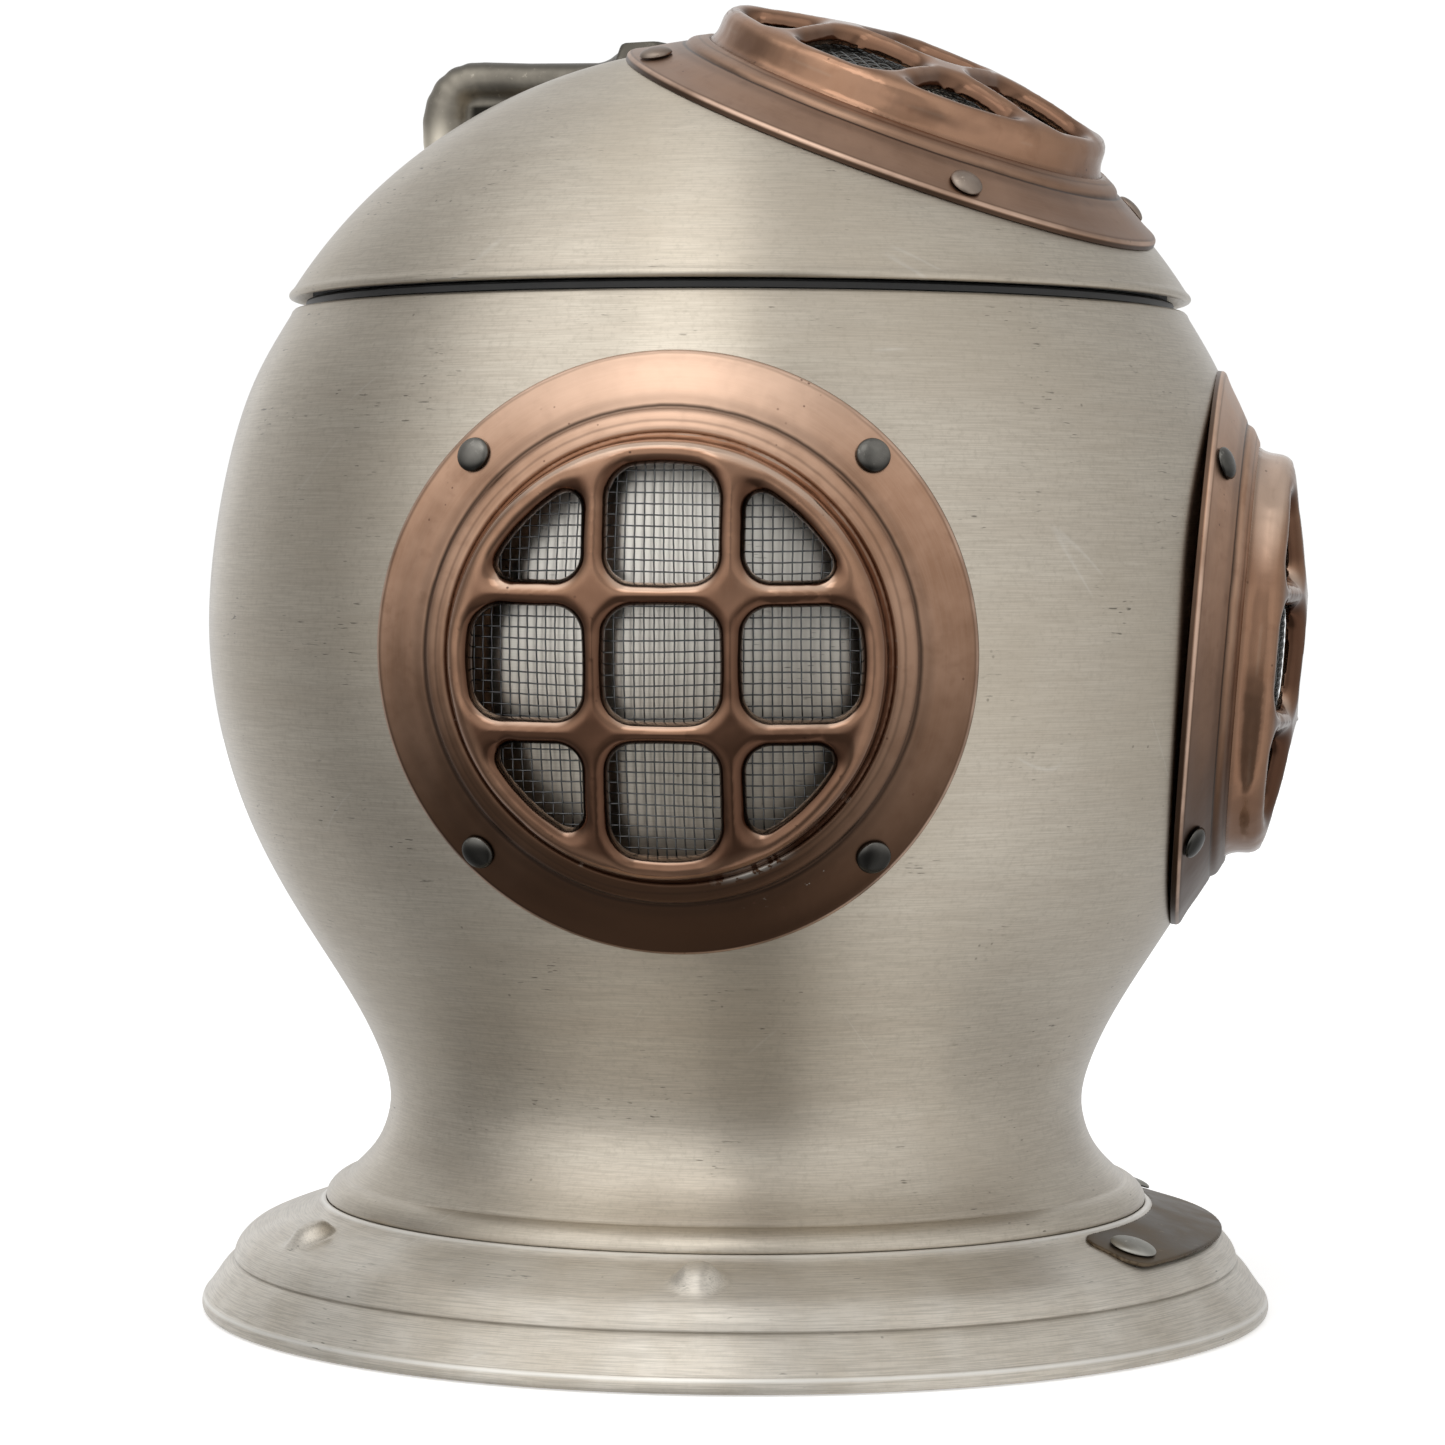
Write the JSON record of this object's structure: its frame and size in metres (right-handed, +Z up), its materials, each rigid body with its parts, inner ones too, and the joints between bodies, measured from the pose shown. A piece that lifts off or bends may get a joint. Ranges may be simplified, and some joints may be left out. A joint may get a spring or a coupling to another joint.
{
  "type": "diver's-helmet ice bucket",
  "caption": "Table-top lidded ice bucket shaped like a diver's helmet: spun metal globe on a stepped base, grilled copper windows, silvered liner, lift-off lid with a cast handle.",
  "frame": {"origin": "centre of the underside, on the helmet's axis, in the plane the bucket stands on", "axes": "+Z up along the helmet's axis; the front window and the name plate face -Y; the wearer's right window faces -X"},
  "size_m": [0.206, 0.1999, 0.2347],
  "materials": {
    "brushed_aluminium": "brushed round the axis, worn satin",
    "antiqued_copper": "antiqued copper, polished on the high spots, brown in the recesses",
    "dark_rivet": "dark gunmetal",
    "handle_pewter": "dark antiqued casting, rubbed on the edges",
    "plate_bronze": "dark brown patina",
    "woven_wire": "plain drawn wire",
    "silvered_glass": "silvered glass",
    "plated_steel": "zinc plated",
    "black_plastic": "moulded satin",
    "grey_rubber": "matt",
    "green_felt": "pressed felt"
  },
  "bodies": {
    "bucket": {"body_shell": "brushed_aluminium", "base_flange": "brushed_aluminium", "name_plate": "plate_bronze", "plate_rivet_right": "brushed_aluminium", "plate_rivet_left": "brushed_aluminium", "clamp_plate": "plated_steel", "tie_bolt": "plated_steel", "tie_nut": "plated_steel", "base_cover": "plated_steel", "felt_pad": "green_felt", "liner": "silvered_glass", "liner_collar": "black_plastic", "liner_cushion": "grey_rubber", "liner_cradle": "plated_steel", "front_window_flange": "antiqued_copper", "front_window_grille": "antiqued_copper", "front_window_mesh": "woven_wire", "front_window_rivet_1": "dark_rivet", "front_window_rivet_2": "dark_rivet", "front_window_rivet_3": "dark_rivet", "front_window_rivet_4": "dark_rivet", "right_window_flange": "antiqued_copper", "right_window_grille": "antiqued_copper", "right_window_mesh": "woven_wire", "right_window_rivet_1": "dark_rivet", "right_window_rivet_2": "dark_rivet", "right_window_rivet_3": "dark_rivet", "right_window_rivet_4": "dark_rivet", "left_window_flange": "antiqued_copper", "left_window_grille": "antiqued_copper", "left_window_mesh": "woven_wire", "left_window_rivet_1": "dark_rivet", "left_window_rivet_2": "dark_rivet", "left_window_rivet_3": "dark_rivet", "left_window_rivet_4": "dark_rivet"},
    "lid_seat": {"lid_gasket": "grey_rubber"},
    "lid": {"lid_shell": "brushed_aluminium", "lid_pan": "brushed_aluminium", "lid_window_flange": "antiqued_copper", "lid_window_grille": "antiqued_copper", "lid_window_mesh": "woven_wire", "lid_window_rivet_1": "dark_rivet", "lid_window_rivet_2": "dark_rivet", "lid_window_rivet_3": "dark_rivet", "lid_window_rivet_4": "dark_rivet", "handle": "handle_pewter", "handle_screw_front": "plated_steel", "handle_screw_rear": "plated_steel"}
  },
  "joints": [
    {"name": "lid_lift", "type": "slide", "parent": "bucket", "child": "lid_seat", "axis": [0, 0, 1], "range_m": [0, 0.12]},
    {"name": "lid_turn", "type": "hinge", "parent": "lid_seat", "child": "lid", "pos_m": [0, 0, 0.184], "axis": [0, 0, 1], "continuous": true}
  ]
}
